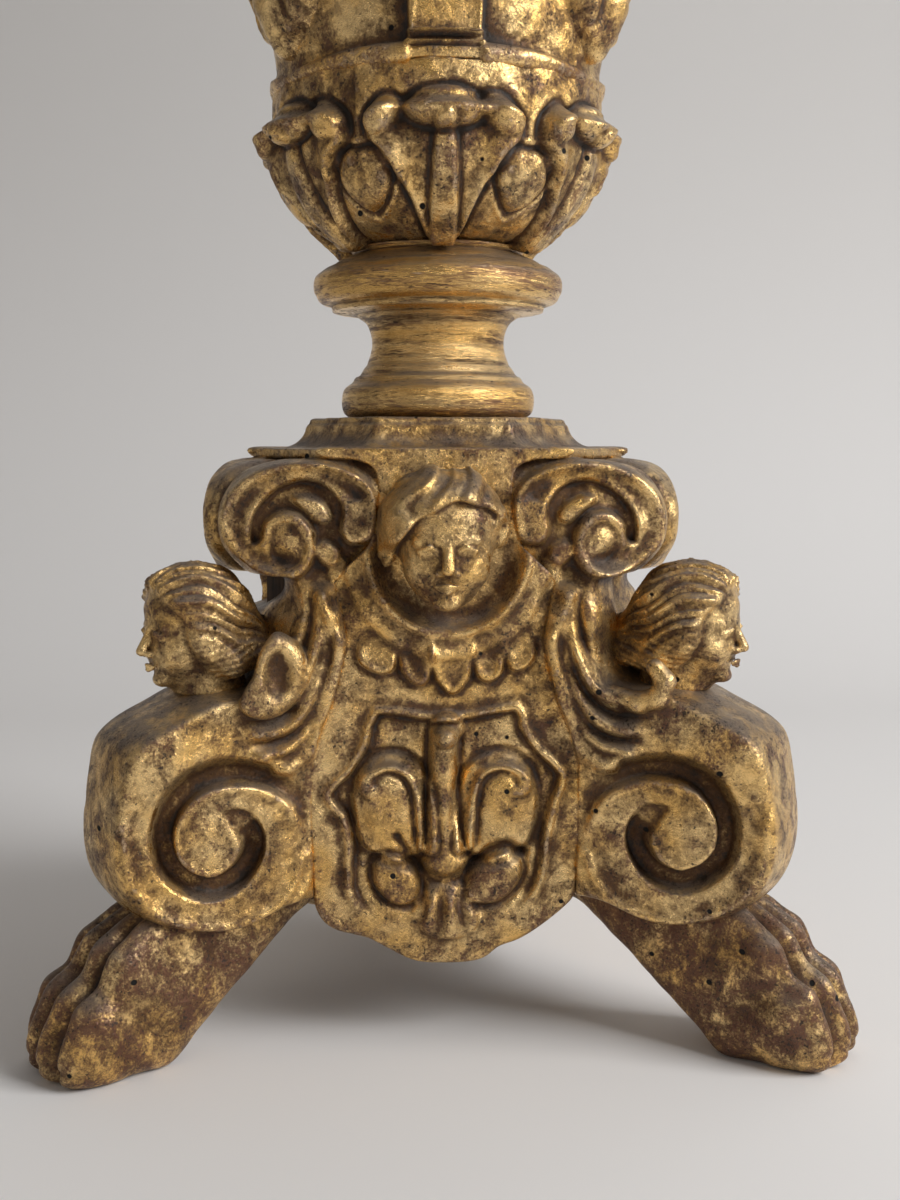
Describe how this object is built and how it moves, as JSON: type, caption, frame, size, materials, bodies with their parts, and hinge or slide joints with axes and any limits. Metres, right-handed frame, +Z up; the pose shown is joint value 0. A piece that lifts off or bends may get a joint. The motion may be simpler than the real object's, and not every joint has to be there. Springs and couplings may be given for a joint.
{
  "type": "torchere candle stand",
  "caption": "Three-sided torchere candle stand: paw feet, scrolled corner consoles with heads, carved baluster stem, drip pan and pricket.",
  "frame": {"origin": "on the floor plane, on the axis of the stem", "axes": "+Z up along the stem; -Y towards the front face; one corner foot points to +Y, the other two to -30 and 210 degrees"},
  "size_m": [0.299, 0.261, 0.786],
  "materials": {
    "gilt_wood": "water gilding over red-brown bole, worn and dark in the recesses",
    "bare_wood": "old bare wood",
    "iron": "forged, dark and dry"
  },
  "bodies": {
    "root": {"face_panel_a": "gilt_wood", "face_panel_b": "gilt_wood", "face_panel_c": "gilt_wood", "cherub_head_a": "gilt_wood", "cherub_head_b": "gilt_wood", "cherub_head_c": "gilt_wood", "corner_console_a": "gilt_wood", "corner_console_b": "gilt_wood", "corner_console_c": "gilt_wood", "corner_head_a": "gilt_wood", "corner_head_b": "gilt_wood", "corner_head_c": "gilt_wood", "paw_foot_a": "gilt_wood", "paw_foot_b": "gilt_wood", "paw_foot_c": "gilt_wood", "cap_plate": "gilt_wood", "neck_spool": "gilt_wood", "leaf_bowl": "gilt_wood", "vase_body": "gilt_wood", "vase_leaf_a": "gilt_wood", "vase_leaf_b": "gilt_wood", "vase_leaf_c": "gilt_wood", "neck_ring": "gilt_wood", "baluster_stem": "gilt_wood", "stem_knop": "gilt_wood", "candle_cup": "gilt_wood", "drip_pan": "gilt_wood", "core_block": "bare_wood", "foot_dowels": "bare_wood", "head_dowels": "bare_wood", "pricket": "iron"}
  },
  "joints": []
}
